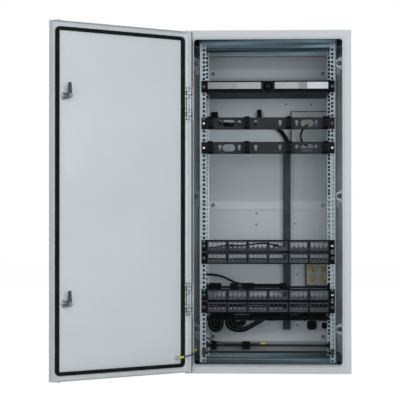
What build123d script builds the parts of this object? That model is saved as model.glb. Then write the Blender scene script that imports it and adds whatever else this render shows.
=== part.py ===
from build123d import *
import os
from math import radians, tan

# A floor-standing network cabinet with its door swung open, in millimetres.
# X runs to the right across the front, Y to the rear and Z up from the base.

# Shell
width = 590.0
height = 1220.0
depth = 500.0
sheet = 1.5
shell_radius = 4.0
flange_width = 32.0
flange_height = 33.0
opening_radius = 10.0
wall_hole_diameter = 10.5
wall_hole_inset = 45.0
overrun = 10.0

# Gland plate in the floor
gland_width = 400.0
gland_depth = 130.0
gland_rear_gap = 70.0
gland_lap = 18.0
gland_sheet = 2.0
gland_head_diameter = 10.0
gland_head_height = 3.0
gland_screw_columns = 3

# Door
door_side_gap = 3.0
door_end_gap = 8.0
door_sheet = 1.5
door_return = 24.0
door_clearance = 3.0
door_radius = 3.0
door_open_angle = 139.5
drain_diameter = 8.0
drain_inset = 150.0
plug_diameter = 12.0
plug_rise = 2.4
plug_round_share = 0.8
plug_inset = 30.0
gasket_width = 12.0
gasket_thickness = 10.0
gasket_clearance = 0.3

# Hinges
hinge_low = 265.0
hinge_high_inset = 262.0
hinge_length = 114.0
hinge_axis_inset = 8.0
hinge_axis_depth = 8.5
hinge_notch_margin = 3.0
hinge_notch_rim = 7.0
knuckle_radius = 5.5
knuckle_length = 14.0
arm_length = 10.0
arm_thickness = 5.0
hinge_gap = 0.3
hinge_plate = 1.2
hinge_foot = 2.5
hinge_foot_width = 12.0
hinge_lip_gap = 1.0
pin_radius = 2.5
pin_clearance = 0.05
pin_proud = 2.0

# Locks
lock_low = 266.0
lock_high_inset = 259.0
lock_inset = 59.0
lock_flange_diameter = 30.0
lock_flange_thickness = 4.0
lock_barrel_diameter = 22.0
lock_barrel_length = 18.0
lock_fit = 0.1
lock_nut_across = 27.0
lock_nut_height = 6.0
core_diameter = 14.0
core_slot_width = 3.0
core_slot_depth = 3.0
core_neck = 8.0
core_cap_diameter = 16.0
core_cap_height = 4.0
cam_length = 45.0
cam_width = 18.0
cam_tip_width = 11.0
cam_sheet = 3.0
cam_flange_gap = 6.0

# Rack rails, to the 19-inch standard
unit_height = 44.45
hole_shares = (1 / 7, 1 / 2, 6 / 7)
rail_base = 29.0
rail_head_room = 30.0
rail_side_room = 46.5
rail_setback = 121.0
rear_rail_gap = 81.5
rail_hole_inset = 7.55
rail_hole = 9.5
rail_face = 22.0
rail_flange = 40.0
rail_sheet = 2.0

# Cross-members, depth stays and side brackets
member_height = 36.0
member_depth = 24.0
member_sheet = 2.0
member_lap = 14.0
stay_width = 22.0
stay_height = 30.0
bracket_low = 150.0
bracket_high_inset = 106.0
bracket_sheet = 3.0
bracket_setback = 8.0
bracket_nose = 22.0
bracket_root = 80.0
bracket_foot = 20.0
bracket_tab_width = 16.0
bracket_tab_height = 40.0
bracket_tab_gap = 7.0
bracket_bolt_reach = 11.0
bolt_diameter = 8.0
bolt_head_diameter = 17.0
bolt_head_height = 6.0

# Mounting plate, straps and their nuts
plate_standoff = 11.5
plate_sheet = 2.0
plate_margin_x = 28.0
plate_margin_z = 40.0
strap_height = 36.0
strap_depth = 8.0
strap_sheet = 2.0
strap_inset = 12.0
strap_low = 95.0
strap_high_inset = 112.0
strap_stud_inset = 35.5
boss_diameter = 16.0
stud_diameter = 8.0
stud_fit = 0.3
nut_across = 13.0
nut_height = 6.5
stud_proud = 4.0
bridge_inset = 7.0
bridge_pitch = 104.0
bridge_columns = 3
bridge_rows = (148.0, 310.0, 472.0)
bridge_gap = 31.0
bridge_height = 30.0
bridge_width = 3.0
bridge_rise = 7.0
bridge_sheet = 2.0

# Rack equipment
panel_edge = 5.7
panel_height = 43.6
panel_sheet = 2.0
panel_return = 14.0
panel_body_gap = 5.0
screw_diameter = 6.0
screw_head_diameter = 11.0
screw_head_height = 4.0
screw_slot = 10.0
cage_nut_across = 13.0
cage_nut_thickness = 5.0
screw_fit = 0.2

power_unit_from_top = 3
power_overhang = 4.0
power_wall = 1.2
power_inlet_width = 48.0
power_inlet_height = 28.0
power_inlet_inset = 70.0
inlet_plate_width = 72.0
ear_width = 20.0
ear_thickness = 5.0
ear_radius = 8.0
trim_height = 24.0
trim_thickness = 5.0
trim_rise = 4.0
trim_gap = 3.3
trim_inner = 25.0
label_thickness = 1.0
left_label_shares = (0.46, 1.0)
small_label_shares = (0.45, 0.6)
white_label_shares = (0.61, 1.0)
dome_diameter = 36.0
dome_height = 14.0
dome_base_width = 49.0
dome_base_height = 37.0
dome_base_corner = 10.0
dome_base_depth = 6.0
dome_collar = 2.0

managers_from_top = (6, 8)
manager_oval_width = 46.0
manager_oval_height = 25.0
keyhole_centre_share = 0.58
keyhole_inner_gap = 28.0
keyhole_outer_gap = 34.0
keyhole_diameter = 12.0
keyhole_slot = 6.0
keyhole_drop = 10.0
ring_inset = 12.0
ring_pitch = 132.0
ring_depth = 55.0
ring_height = 46.0
ring_width = 18.0
ring_thickness = 5.0
ring_radius = 12.0
ring_gate = 4.0

patch_places = (10, 9, 6, 5)
faceplates_per_panel = 6
faceplate_margin = 3.6
faceplate_gap = 3.0
faceplate_rim = 3.0
faceplate_fit = 0.2
faceplate_depth = 9.0
faceplate_proud = 1.0
ports_per_faceplate = 4
faceplate_side = 3.8
port_wall = 2.0
port_height = 19.5
port_rise = 2.5

# Bars, clamps and saddles
bar_radius = 4.0
bar_foot_width = 14.0
bar_foot_height = 20.0
bar_foot_sheet = 2.5
rear_bar_places = (6, 1)
front_bar_place = 1
relief_setback = 95.0
relief_drop = 26.0
relief_height = 14.0
relief_sheet = 3.0
relief_gap = 6.0
clamp_height = 30.0
clamp_depth = 20.0
clamp_fit = 0.2
upper_clamps = ((24.0, 46.0), (96.0, 30.0), (149.0, 46.0), (282.0, 24.0))
lower_clamps = ((20.0, 20.0), (141.0, 30.0))
low_ties = ((57.0, 140.0, 36.0, 34.0), (9.0, 138.0, 20.0, 22.0))
high_ties = ((192.0, 270.0, 34.0, 16.0),)
tie_depth = 16.0
tie_radius_share = 1 / 3
saddle_width = 24.0
saddle_depth = 24.0
saddle_height = 16.0

# Trunk, rear box and receptacle box on the back
trunk_gap = 0.5
trunk_width = 28.0
trunk_depth = 30.0
trunk_bottom = 125.0
trunk_lap = 18.0
trunk_wall = 1.6
box_width = 145.0
box_height = 145.0
box_lap = 7.0
box_drop = 260.0
box_depth = 60.0
box_lid = 4.0
box_lid_margin = 4.0
box_radius = 5.0
outlet_inset = 33.0
outlet_z = 340.0
outlet_size = 101.6
outlet_depth = 38.1
outlet_wall = 1.8
outlet_radius = 12.0
cover_sheet = 1.8
cover_rise = 12.0
cover_taper = 6.0
receptacle_pitch_x = 46.0
receptacle_pitch_z = 38.9
receptacle_width = 34.0
receptacle_height = 28.0
receptacle_strap_width = 33.0
receptacle_strap_height = 70.0
receptacle_depth = 24.0
receptacle_proud = 1.5
receptacle_fit = 0.3
face_corner_share = 0.4

# Earth studs
earth_stud_diameter = 8.0
earth_stud_length = 16.0
earth_nut_across = 13.0
earth_nut_height = 6.5
door_stud_inset = 56.0
door_stud_z = 60.0
wall_stud_setback = 35.0
wall_stud_z = 80.0

# Cables, each a tube along points chosen by hand
cord_share = 0.45
riser_diameter = 16.0
riser_inset = 24.0
riser_shares = (0, 0.054, 0.184, 0.371, 0.561, 0.73, 0.867, 0.961)
box_lead_diameter = 7.0
bar_cable_diameter = 8.0
slack_diameter = 18.0
slack_sag = 34.0
slack_spans = ((5.0, 47.0), (69.0, 191.0))
slack_shares = ((0, 0), (0, 0.4), (0.14, 0.8), (0.36, 1), (0.64, 1), (0.86, 0.8), (1, 0.4), (1, 0))
earth_lead_diameter = 5.0
door_lead_diameter = 5.0
lead_fit = 0.5

# Places worked out from the sizes above
half_width = width / 2
front = -depth / 2
back = depth / 2
opening_width = width - 2 * flange_width
opening_height = height - 2 * flange_height
inner_x = half_width - sheet
inner_back = back - sheet
door_width = width - 2 * door_side_gap
door_height = height - 2 * door_end_gap
door_half = door_width / 2
door_face = front - door_clearance - door_return
door_inside = door_face + door_sheet
lip_length = door_clearance + door_return - door_sheet - gasket_thickness - gasket_clearance
hinge_x = -door_half + hinge_axis_inset
hinge_y = door_face + hinge_axis_depth
lock_x = door_half - lock_inset
cam_front = front + sheet + cam_flange_gap
plate_front = inner_back - plate_standoff - plate_sheet
strap_front = plate_front - strap_depth
front_rail = front + rail_setback
rear_rail = inner_back - rear_rail_gap
rail_outer = inner_x - rail_side_room
rail_inner = rail_outer - rail_face
units = int((height - rail_base - rail_head_room) / unit_height)
rail_top = rail_base + units * unit_height
rail_hole_x = rail_inner + rail_hole_inset
panel_width = 2 * (rail_outer - panel_edge)
panel_body_width = 2 * (rail_inner - panel_body_gap)
power_unit_place = units - power_unit_from_top
power_depth = rear_rail + power_overhang - front_rail
trim_outer = panel_width / 2 - ear_width - trim_gap
manager_places = [units - place for place in managers_from_top]
outer_ring = panel_body_width / 2 - ring_inset
inner_ring = outer_ring - ring_pitch
manager_oval_x = (inner_ring + outer_ring) / 2
keyholes = (inner_ring * keyhole_centre_share, inner_ring + keyhole_inner_gap, outer_ring - keyhole_outer_gap)
faceplate_pitch = 2 * (rail_inner - faceplate_margin) / faceplates_per_panel
port_pitch = (faceplate_pitch - faceplate_gap - 2 * faceplate_side) / ports_per_faceplate
port_width = port_pitch - port_wall
strap_end = rail_outer - strap_inset
strap_stud_x = rail_outer - strap_stud_inset
relief_y = front_rail + relief_setback
relief_half_width = rail_inner - relief_gap
box_right = rail_inner + box_lap
box_left = box_right - box_width
box_top = height - box_drop
box_bottom = box_top - box_height
trunk_x = box_left - trunk_gap - trunk_width / 2
trunk_top = box_bottom + trunk_lap
outlet_x = rail_inner - outlet_inset
door_stud_x = door_stud_inset - door_half
wall_stud_y = front + wall_stud_setback
hinge_heights = (hinge_low, height - hinge_high_inset)
lock_heights = (lock_low, height - lock_high_inset)
swing = Pos(hinge_x, hinge_y, 0) * Rot(0, 0, -door_open_angle) * Pos(-hinge_x, -hinge_y, 0)


def three_levels(low, high):
    return low, (low + high) / 2, high


strap_heights = three_levels(strap_low, height - strap_high_inset)
bracket_heights = three_levels(bracket_low, height - bracket_high_inset)


def block(xs, ys, zs):
    """A box between two limits on each axis."""
    size = [abs(b - a) for a, b in (xs, ys, zs)]
    middle = [(a + b) / 2 for a, b in (xs, ys, zs)]
    return Pos(*middle) * Box(*size)


def slab(outline, y0, y1):
    """An outline drawn in X and Z, as a plate from y0 back to y1."""
    plane = Plane(origin=(0, y0, 0), x_dir=(1, 0, 0), z_dir=(0, -1, 0))
    return extrude(plane * outline, amount=y1 - y0, dir=(0, 1, 0))


def rod_x(radius, x0, x1, y, z):
    return Pos((x0 + x1) / 2, y, z) * Rot(0, 90, 0) * Cylinder(radius, abs(x1 - x0))


def rod_y(radius, x, y0, y1, z):
    return Pos(x, (y0 + y1) / 2, z) * Rot(90, 0, 0) * Cylinder(radius, abs(y1 - y0))


def rod_z(radius, x, y, z0, z1):
    return Pos(x, y, (z0 + z1) / 2) * Cylinder(radius, abs(z1 - z0))


def hexagon(across):
    return RegularPolygon(across / 2, 6, major_radius=False)


def group(solids):
    return Compound(children=list(solids))


def unit_centre(place):
    return rail_base + (place - 1 / 2) * unit_height


def tube(points, diameter):
    """A round tube along straight runs joined by the largest arcs that they allow."""
    corners = [Vector(*p) for p in points]
    runs = [b - a for a, b in zip(corners, corners[1:])]
    radii = []
    for before, after in zip(runs, runs[1:]):
        turn = radians(before.get_angle(after))
        radii.append(cord_share * min(before.length, after.length) / tan(turn / 2))
    print("tube of diameter", diameter, "bends at radius", [round(radius, 1) for radius in radii])
    path = FilletPolyline(*corners, radius=radii)
    start = Plane(origin=path @ 0, z_dir=path % 0)
    return sweep(start * Circle(diameter / 2), path=path)


def make_shell():
    outer = RectangleRounded(width, height, shell_radius)
    inner = RectangleRounded(width - 2 * sheet, height - 2 * sheet, shell_radius - sheet)
    opening = RectangleRounded(opening_width, opening_height, opening_radius)
    lip = RectangleRounded(opening_width + 2 * sheet, opening_height + 2 * sheet, opening_radius + sheet)
    centre = Pos(0, height / 2)
    shell = slab(centre * outer, front, back) - slab(centre * inner, front + sheet, inner_back)
    shell += slab(centre * lip, front - lip_length, front + sheet)
    shell -= slab(centre * opening, front - lip_length - overrun, front + sheet + overrun)
    for x in (wall_hole_inset - half_width, half_width - wall_hole_inset):
        for z in (wall_hole_inset, height - wall_hole_inset):
            shell -= rod_y(wall_hole_diameter / 2, x, inner_back - overrun, back + overrun, z)
    shell -= block(gland_limits(0)[0], gland_limits(0)[1], (-overrun, sheet + overrun))
    for x, z in strap_studs():
        shell += rod_y(boss_diameter / 2, x, inner_back - plate_standoff, inner_back, z)
        shell += rod_y(stud_diameter / 2, x, stud_end(), inner_back, z)
    return shell


def gland_limits(lap):
    """The cut-out in the floor, or the plate that laps it."""
    y1 = inner_back - gland_rear_gap
    return (-gland_width / 2 - lap, gland_width / 2 + lap), (y1 - gland_depth - lap, y1 + lap)


def strap_studs():
    return [(x, z) for z in strap_heights for x in (-strap_stud_x, strap_stud_x)]


def stud_end():
    return plate_front - strap_sheet - nut_height - stud_proud


def gland_screws():
    (x0, x1), (y0, y1) = gland_limits(gland_lap / 2)
    step = (x1 - x0) / (gland_screw_columns - 1)
    return [(x0 + step * i, y) for i in range(gland_screw_columns) for y in (y0, y1)]


def make_gland_plate():
    xs, ys = gland_limits(gland_lap)
    plate = block(xs, ys, (sheet, sheet + gland_sheet))
    return plate


def make_gland_screws():
    top = sheet + gland_sheet
    head = extrude(hexagon(gland_head_diameter), gland_head_height)
    return group(Pos(x, y, top) * head for x, y in gland_screws())


def make_mounting_plate():
    x = inner_x - plate_margin_x
    zs = (plate_margin_z, height - plate_margin_z)
    plate = block((-x, x), (plate_front, plate_front + plate_sheet), zs)
    for sx, sz in strap_studs():
        plate -= rod_y(stud_diameter / 2 + stud_fit, sx, plate_front - overrun, plate_front + overrun, sz)
    for column in range(bridge_columns):
        x = bridge_inset - rail_inner + bridge_pitch * column
        for row in bridge_rows:
            for side in (-bridge_gap / 2, bridge_gap / 2):
                plate += make_bridge(x + side, row)
    return plate


def make_bridge(x, z):
    """A narrow lanced loop, for a cable tie."""
    outline = Pos(x, z) * Rectangle(bridge_width, bridge_height)
    window = Pos(x, z) * Rectangle(bridge_width + overrun, bridge_height - 2 * bridge_sheet)
    loop = slab(outline, plate_front - bridge_rise, plate_front)
    return loop - slab(window, plate_front - bridge_rise + bridge_sheet, plate_front)


def make_straps():
    straps = []
    end = strap_end
    for z in strap_heights:
        z0, z1 = z - strap_height / 2, z + strap_height / 2
        strap = block((-end, end), (strap_front, plate_front), (z0, z1))
        strap -= block((-end - overrun, end + overrun), (strap_front - overrun, plate_front - strap_sheet),
                       (z0 + strap_sheet, z1 - strap_sheet))
        for x in (-strap_stud_x, strap_stud_x):
            strap -= rod_y(stud_diameter / 2 + stud_fit, x, strap_front - overrun, plate_front + overrun, z)
        straps.append(strap)
    return group(straps)


def make_strap_nuts():
    nuts = []
    for x, z in strap_studs():
        outline = Pos(x, z) * hexagon(nut_across) - Pos(x, z) * Circle(stud_diameter / 2 + screw_fit)
        nuts.append(slab(outline, plate_front - strap_sheet - nut_height, plate_front - strap_sheet))
    return group(nuts)


def hole_height(place, share):
    return rail_base + (place - 1 + share) * unit_height


def bar_level(place):
    return hole_height(place, hole_shares[-1])


def make_rail(side, y):
    """A perforated steel angle: the punched face and the web behind its outer edge."""
    zs = (rail_base, rail_top)
    face = block((side * rail_inner, side * rail_outer), (y, y + rail_sheet), zs)
    web = block((side * (rail_outer - rail_sheet), side * rail_outer), (y, y + rail_flange), zs)
    outline = Rectangle(rail_hole, rail_hole)
    holes = Sketch() + [
        Pos(side * rail_hole_x, hole_height(place + 1, share)) * outline
        for place in range(units) for share in hole_shares
    ]
    return face + web - slab(holes, y - overrun, y + rail_sheet + overrun / 2)


def member_levels():
    """Bottom and top of the lower and the upper cross-members."""
    low = rail_base + member_lap
    high = rail_top - member_lap
    return (low - member_height, low), (high, high + member_height)


def make_members(rail):
    """The lower and upper channels behind one pair of rails, open to the rear."""
    x = rail_outer - rail_sheet
    y = rail + rail_sheet
    members = []
    for z0, z1 in member_levels():
        channel = block((-x, x), (y, y + member_depth), (z0, z1))
        channel -= block((-x - overrun, x + overrun), (y + member_sheet, y + member_depth + overrun),
                         (z0 + member_sheet, z1 - member_sheet))
        members.append(channel)
    return members


def make_stays():
    """Four channels along the depth, outside the rails and open to the walls."""
    stays = []
    y0, y1 = front_rail, rear_rail + rail_flange
    for side in (-1, 1):
        for low, high in member_levels():
            z = (low + high) / 2
            z0, z1 = z - stay_height / 2, z + stay_height / 2
            stay = block((side * rail_outer, side * (rail_outer + stay_width)), (y0, y1), (z0, z1))
            stay -= block((side * (rail_outer + member_sheet), side * (rail_outer + stay_width + overrun)),
                          (y0 - overrun, y1 + overrun), (z0 + member_sheet, z1 - member_sheet))
            stays.append(stay)
    return group(stays)


def bracket_bolt_x():
    return rail_outer + bracket_bolt_reach


def make_bracket(side, z):
    """A gusset from the rail to the side wall, with a wall foot and a hanging tab behind it."""
    y = front_rail + bracket_setback
    nose, root = bracket_nose / 2, bracket_root / 2
    corners = [(rail_outer, -nose), (inner_x, -root), (inner_x, root), (rail_outer, nose)]
    gusset = Polygon(*[(side * a, z + b) for a, b in corners], align=None)
    gusset -= Pos(side * bracket_bolt_x(), z) * Circle(bolt_diameter / 2 + screw_fit)
    bracket = slab(gusset, y, y + bracket_sheet)
    foot = (side * (inner_x - bracket_sheet), side * inner_x)
    bracket += block(foot, (y, y + bracket_foot), (z - root, z + root))
    tab_front = y + bracket_sheet + bracket_tab_gap
    link = (side * rail_outer, side * (rail_outer + bracket_sheet))
    bracket += block(link, (y, tab_front + bracket_sheet), (z - nose, z + nose))
    tab = Rectangle(bracket_tab_width, bracket_tab_height)
    low_corners = tab.vertices().sort_by(Axis.Y)[:2].sort_by(Axis.X)
    tab = fillet(low_corners[-1 if side > 0 else 0], bracket_tab_width / 2)
    tab = Pos(side * (rail_outer + bracket_tab_width / 2), z - bracket_tab_height / 2) * tab
    return bracket + slab(tab, tab_front, tab_front + bracket_sheet)


def make_brackets():
    return group(make_bracket(side, z) for side in (-1, 1) for z in bracket_heights)


def make_bracket_bolts():
    y = front_rail + bracket_setback
    bolts = []
    for side in (-1, 1):
        for z in bracket_heights:
            x = side * bracket_bolt_x()
            bolt = rod_y(bolt_head_diameter / 2, x, y - bolt_head_height, y, z)
            bolt = fillet(bolt.edges().group_by(Axis.Y)[0], bolt_head_height / 2)
            bolts.append(bolt + rod_y(bolt_diameter / 2, x, y, y + bracket_sheet + bracket_tab_gap, z))
    return group(bolts)


def make_power_chassis():
    z = unit_centre(power_unit_place)
    x = panel_body_width / 2
    half = panel_height / 2
    y0, y1 = front_rail, front_rail + power_depth
    chassis = block((-x, x), (y0, y1), (z - half, z + half))
    inside = half - power_wall
    chassis -= block((power_wall - x, x - power_wall), (y0, y1 - power_wall), (z - inside, z + inside))
    inlet = Pos(power_inlet_inset - x, z) * Rectangle(power_inlet_width, power_inlet_height)
    plate_outline = Pos(power_inlet_inset - x, z) * Rectangle(inlet_plate_width, panel_height - 2 * power_wall)
    inlet_plate = slab(plate_outline - inlet, y1 - power_wall, y1)
    chassis -= slab(plate_outline, y1 - power_wall, y1)
    chassis += slab(Pos(0, z) * Rectangle(panel_width, panel_height), y0 - panel_sheet, y0)
    ear_outline = RectangleRounded(ear_width, panel_height, ear_radius)
    for side in (-1, 1):
        ear = Pos(side * (panel_width - ear_width) / 2, z) * ear_outline
        chassis += slab(ear, y0 - panel_sheet - ear_thickness, y0 - panel_sheet)
        hole = screw_outline(side, z)
        chassis -= slab(hole, y0 - panel_sheet - ear_thickness - overrun, y0 + overrun)
    return group([chassis, inlet_plate])


def screw_outline(side, z):
    """The oblong fixing hole in a panel's ear."""
    return Pos(side * rail_hole_x, z) * SlotOverall(screw_slot, screw_diameter + 2 * screw_fit)


def trim_front():
    return front_rail - panel_sheet - trim_thickness


def make_power_trims():
    z = unit_centre(power_unit_place) + trim_rise
    outline = Rectangle(trim_outer - trim_inner, trim_height)
    middle = (trim_outer + trim_inner) / 2
    trim = slab(Pos(0, z) * outline, trim_front(), front_rail - panel_sheet)
    return group(Pos(side * middle, 0, 0) * trim for side in (-1, 1))


def make_label(side, shares):
    z = unit_centre(power_unit_place) + trim_rise
    length = trim_outer - trim_inner
    xs = [side * (trim_inner + share * length) for share in shares]
    zs = (z - trim_height / 2, z + trim_height / 2)
    return block(xs, (trim_front() - label_thickness, trim_front()), zs)


def make_power_dome():
    """A rounded button on a cut-cornered base."""
    y = front_rail - panel_sheet
    z = unit_centre(power_unit_place)
    outline = Rectangle(dome_base_width, dome_base_height)
    outline = chamfer(outline.vertices(), dome_base_corner)
    base_front = y - dome_base_depth
    dome = rod_y(dome_diameter / 2, 0, base_front - dome_collar - dome_height, base_front, z)
    dome = fillet(dome.edges().group_by(Axis.Y)[0], dome_height)
    return slab(Pos(0, z) * outline, base_front, y) + dome


def panel_blank(z):
    """A 1U panel folded from sheet: the face with its ears and two returns."""
    half = panel_height / 2
    x = panel_body_width / 2
    panel = slab(Pos(0, z) * Rectangle(panel_width, panel_height), front_rail - panel_sheet, front_rail)
    for z0, z1 in ((z - half, z - half + panel_sheet), (z + half - panel_sheet, z + half)):
        panel += block((-x, x), (front_rail, front_rail + panel_return), (z0, z1))
    for side in (-1, 1):
        panel -= slab(screw_outline(side, z), front_rail - panel_sheet - overrun, front_rail + overrun)
    return panel


def make_manager(place):
    """A folded panel in three lengths, butted behind the inner rings."""
    z = unit_centre(place)
    cuts = Sketch()
    for side in (-1, 1):
        cuts += Pos(side * manager_oval_x, z) * SlotOverall(manager_oval_width, manager_oval_height)
        for x in keyholes:
            cuts += Pos(side * x, z + keyhole_drop / 2) * Circle(keyhole_diameter / 2)
            cuts += Pos(side * x, z) * Rectangle(keyhole_slot, keyhole_drop + keyhole_slot)
    panel = panel_blank(z) - slab(cuts, front_rail - panel_sheet - overrun, front_rail + overrun)
    ends = (-panel_width / 2, -inner_ring, inner_ring, panel_width / 2)
    ys = (front_rail - panel_sheet, front_rail + panel_return)
    zs = (z - panel_height / 2, z + panel_height / 2)
    return group(panel & block((x0, x1), ys, zs) for x0, x1 in zip(ends, ends[1:]))


def make_rings(place):
    """Four cable rings on a manager's face, each with a gate for laying cables in."""
    z = unit_centre(place)
    seat = front_rail - panel_sheet
    plane = Plane(origin=(0, seat - ring_depth / 2, z), x_dir=(0, 1, 0), z_dir=(1, 0, 0))
    wall = 2 * ring_thickness
    outline = RectangleRounded(ring_depth, ring_height, ring_radius)
    outline -= RectangleRounded(ring_depth - wall, ring_height - wall, ring_radius - ring_thickness)
    outline += Pos(ring_depth / 2 - ring_thickness / 2, 0) * Rectangle(ring_thickness, ring_height - wall)
    outline -= Pos(-ring_depth / 2, 0) * Rectangle(wall + ring_thickness, ring_gate)
    ring = extrude(plane * outline, amount=ring_width / 2, both=True)
    return [Pos(side * x, 0, 0) * ring for x in (inner_ring, outer_ring) for side in (-1, 1)]


def faceplate_centres():
    first = -faceplate_pitch * (faceplates_per_panel - 1) / 2
    return [first + faceplate_pitch * i for i in range(faceplates_per_panel)]


def faceplate_window():
    return faceplate_pitch - faceplate_gap, panel_height - 2 * faceplate_rim


def make_patch_panel(place):
    z = unit_centre(place)
    w, h = faceplate_window()
    windows = Sketch() + [Pos(x, z) * Rectangle(w, h) for x in faceplate_centres()]
    return panel_blank(z) - slab(windows, front_rail - panel_sheet - overrun, front_rail + overrun / 2)


def make_faceplates(place):
    """Six snap-in faceplates, each with four open ports."""
    z = unit_centre(place)
    w, h = faceplate_window()
    outline = Rectangle(w - 2 * faceplate_fit, h - 2 * faceplate_fit)
    first = -port_pitch * (ports_per_faceplate - 1) / 2
    for i in range(ports_per_faceplate):
        outline -= Pos(first + port_pitch * i, port_rise) * Rectangle(port_width, port_height)
    seat = front_rail - panel_sheet - faceplate_proud
    return [slab(Pos(x, z) * outline, seat, seat + faceplate_depth) for x in faceplate_centres()]


def rack_fixings():
    """Side, height and seat of every rack screw."""
    panel_seat = front_rail - panel_sheet
    fixings = [(side, unit_centre(power_unit_place), panel_seat - ear_thickness) for side in (-1, 1)]
    for place in (*manager_places, *patch_places):
        fixings += [(side, unit_centre(place), panel_seat) for side in (-1, 1)]
    bar_height = bar_level(front_bar_place)
    return fixings + [(side, bar_height, front_rail - bar_foot_sheet) for side in (-1, 1)]


def make_rack_screws():
    screws = []
    for side, z, seat in rack_fixings():
        x = side * rail_hole_x
        head = slab(Pos(x, z) * hexagon(screw_head_diameter), seat - screw_head_height, seat)
        end = front_rail + rail_sheet + cage_nut_thickness
        screws.append(head + rod_y(screw_diameter / 2, x, seat, end, z))
    return group(screws)


def make_cage_nuts():
    """The spring nuts behind the rail."""
    y = front_rail + rail_sheet
    outline = Rectangle(cage_nut_across, cage_nut_across) - Circle(screw_diameter / 2 + screw_fit)
    nuts = []
    for side, z, seat in rack_fixings():
        nuts.append(slab(Pos(side * rail_hole_x, z) * outline, y, y + cage_nut_thickness))
    return group(nuts)


def make_rear_bars():
    """Round lacing bars with flat feet, on the faces of the rear rails."""
    bars = []
    for place in rear_bar_places:
        bars.append(make_bar(rear_rail, bar_level(place)))
    return group(bars)


def make_bar(rail, z):
    end = rail_inner + bar_foot_width
    bar = rod_x(bar_radius, -rail_inner, rail_inner, rail - bar_radius, z)
    for side in (-1, 1):
        foot = Pos(side * (rail_inner + end) / 2, z) * Rectangle(bar_foot_width, bar_foot_height)
        bar += slab(foot, rail - bar_foot_sheet, rail)
    return bar


def make_front_bar():
    z = bar_level(front_bar_place)
    hole = rod_y(screw_diameter / 2 + screw_fit, 0, front_rail - overrun, front_rail + overrun, z)
    bar = make_bar(front_rail, z)
    for side in (-1, 1):
        bar -= Pos(side * rail_hole_x, 0, 0) * hole
    return bar


def relief_levels():
    top = unit_centre(patch_places[-1]) - panel_height / 2
    middle = top - relief_drop
    return middle - relief_height / 2, middle + relief_height / 2, top


def make_relief_bar():
    """A flat bar behind and below the lowest patch panel, hung from its lower return by two arms."""
    z0, z1, top = relief_levels()
    x = relief_half_width
    bar = block((-x, x), (relief_y, relief_y + relief_sheet), (z0, z1))
    for side in (-1, 1):
        arm = [(front_rail, top), (front_rail + panel_return, top), (relief_y + relief_sheet, z1),
               (relief_y + relief_sheet, z0), (front_rail + panel_return, z1), (front_rail, z1)]
        plane = Plane(origin=(side * x, 0, 0), x_dir=(0, 1, 0), z_dir=(1, 0, 0))
        bar += extrude(plane * Polygon(*arm, align=None), amount=relief_sheet, dir=(-side, 0, 0))
    return bar


def bar_cable_points():
    """From the left rear rail down to the upper lacing bar and along it."""
    z = bar_level(rear_bar_places[0]) + bar_radius + bar_cable_diameter / 2
    y = rear_rail - bar_cable_diameter / 2
    x = -rail_inner
    return [(x - 13.0, y, z + 40.0), (x + 19.0, y - 1.0, z + 39.0), (x + 53.0, y, z + 32.0),
            (x + 83.0, y - 1.0, z + 16.0), (x + 115.0, y, z + 3.0), (x + 155.0, y, z),
            (x + 205.0, y - 0.5, z), (x + 282.0, y, z)]


def earth_lead_points():
    """Along the lower lacing bar, from the left rear rail."""
    z = bar_level(rear_bar_places[1]) + bar_radius + earth_lead_diameter / 2
    y = rear_rail - earth_lead_diameter / 2
    x = -rail_inner
    return [(x - 11.0, y, z + 12.0), (x + 11.0, y - 1.0, z + 6.0), (x + 45.0, y, z), (x + 95.0, y - 0.5, z),
            (x + 141.0, y, z), (x + 185.0, y - 0.5, z), (x + 217.0, y, z + 1.0)]


def riser_points():
    """Across the back and down into the mouth of the trunk."""
    x0 = riser_inset - rail_inner
    x1 = trunk_x + trunk_width / 2 - trunk_wall - riser_diameter / 2
    y = strap_front - trunk_depth / 2
    z = trunk_top
    xs = [x0 + share * (x1 - x0) for share in riser_shares]
    return [(xs[0], y, z + 115.0), (xs[1], y + 1.0, z + 91.0), (xs[2], y, z + 77.0), (xs[3], y, z + 72.0),
            (xs[4], y, z + 73.0), (xs[5], y, z + 69.0), (xs[6], y, z + 53.0), (xs[7], y, z + 30.0),
            (x1, y, z + 3.0), (x1, y, z - trunk_depth)]


def box_lead_points():
    """A loop out of the rear box and back into it."""
    x = box_left
    y = plate_front - box_depth
    z = box_bottom
    return [(x + 67.0, y, z + 93.0), (x + 67.0, y - 20.0, z + 93.0), (x + 56.0, y - 38.0, z + 87.0),
            (x + 43.0, y - 48.0, z + 71.0), (x + 36.0, y - 50.0, z + 51.0), (x + 39.0, y - 47.0, z + 32.0),
            (x + 50.0, y - 37.0, z + 18.0), (x + 63.0, y - 20.0, z + 11.0), (x + 63.0, y, z + 11.0)]


def door_lead_points():
    """From the stud on the open door, past the door's edge, to the stud on the left wall."""
    side = door_stud_x - earth_stud_diameter / 2 - lead_fit
    lug = Pos(side, door_inside + earth_stud_length - earth_nut_height, door_stud_z)
    a = (swing * lug).position
    b = Vector(earth_stud_length - inner_x + lead_fit, wall_stud_y, wall_stud_z)
    return [a, a + (11.6, 6.4, 1.0), a + (27.6, 11.4, 4.5), a + (45.6, 14.9, 9.5), b + (23.3, -56.0, -5.0),
            b + (30.3, -38.0, -1.0), b + (29.3, -18.0, 1.0), b + (18.3, 0.0, 0.0), b]


def make_slack_cables():
    """Two spare bundles that hang from saddles on the strain relief bar."""
    z = saddle_level()
    y = relief_y + relief_sheet + saddle_depth / 2
    cables = []
    for a, b in slack_spans:
        x0 = a - relief_half_width
        span = b - a
        points = [(x0 + span * along, y, z - slack_sag * down) for along, down in slack_shares]
        cables.append(tube(points, slack_diameter))
    return group(cables)


def saddle_level():
    z0, z1, top = relief_levels()
    return (z0 + z1) / 2 - saddle_height / 2


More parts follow.
